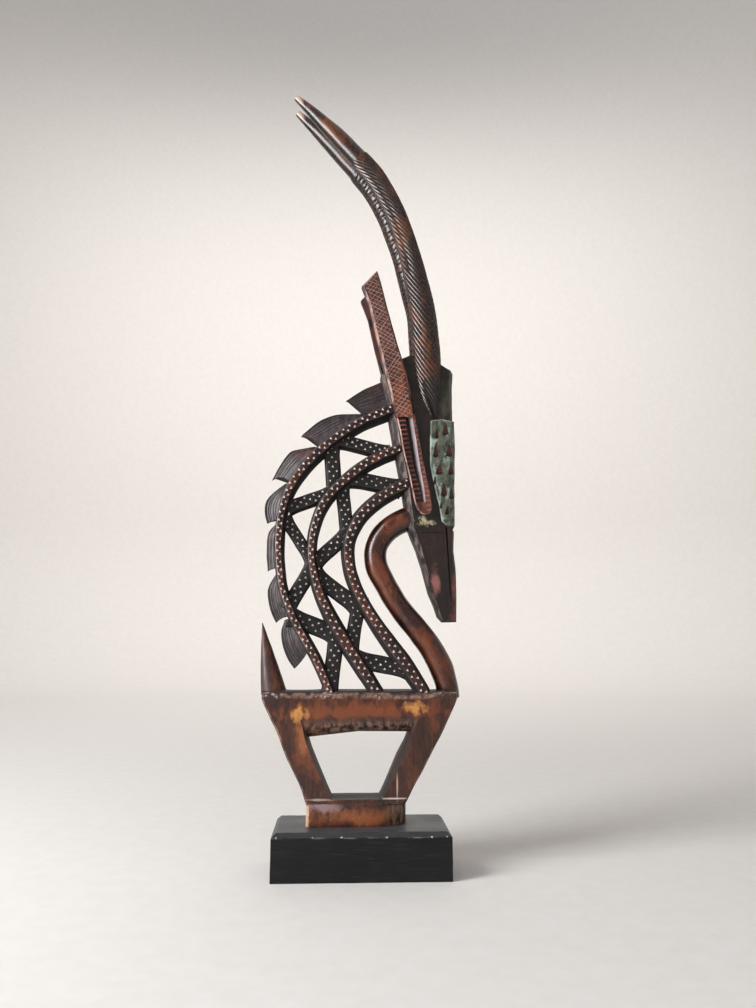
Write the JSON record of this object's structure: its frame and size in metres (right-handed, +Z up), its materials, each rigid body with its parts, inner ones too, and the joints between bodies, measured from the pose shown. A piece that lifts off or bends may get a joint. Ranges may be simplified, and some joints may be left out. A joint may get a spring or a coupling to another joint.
{
  "type": "carved antelope sculpture",
  "caption": "Tall carved wooden antelope with swept-back horns, long ears, openwork ribbed mane, curved neck and splayed legs on a foot block, fixed on a low black plinth.",
  "frame": {"origin": "centre of the underside of the plinth", "axes": "+Z up along the horns, +X the way the animal faces (right in the picture), +Y away from the picture's camera"},
  "size_m": [0.2625, 0.104, 1.0733],
  "materials": {
    "carved_wood": "hand-carved hardwood with dark brown polish worn to ochre on the edges, pale green patina on the chip-carved brow",
    "black_paint": "black painted wood, satin on top, with fine horizontal grain and small edge chips"
  },
  "bodies": {
    "root": {"antelope": "carved_wood", "plinth": "black_paint"}
  },
  "joints": []
}
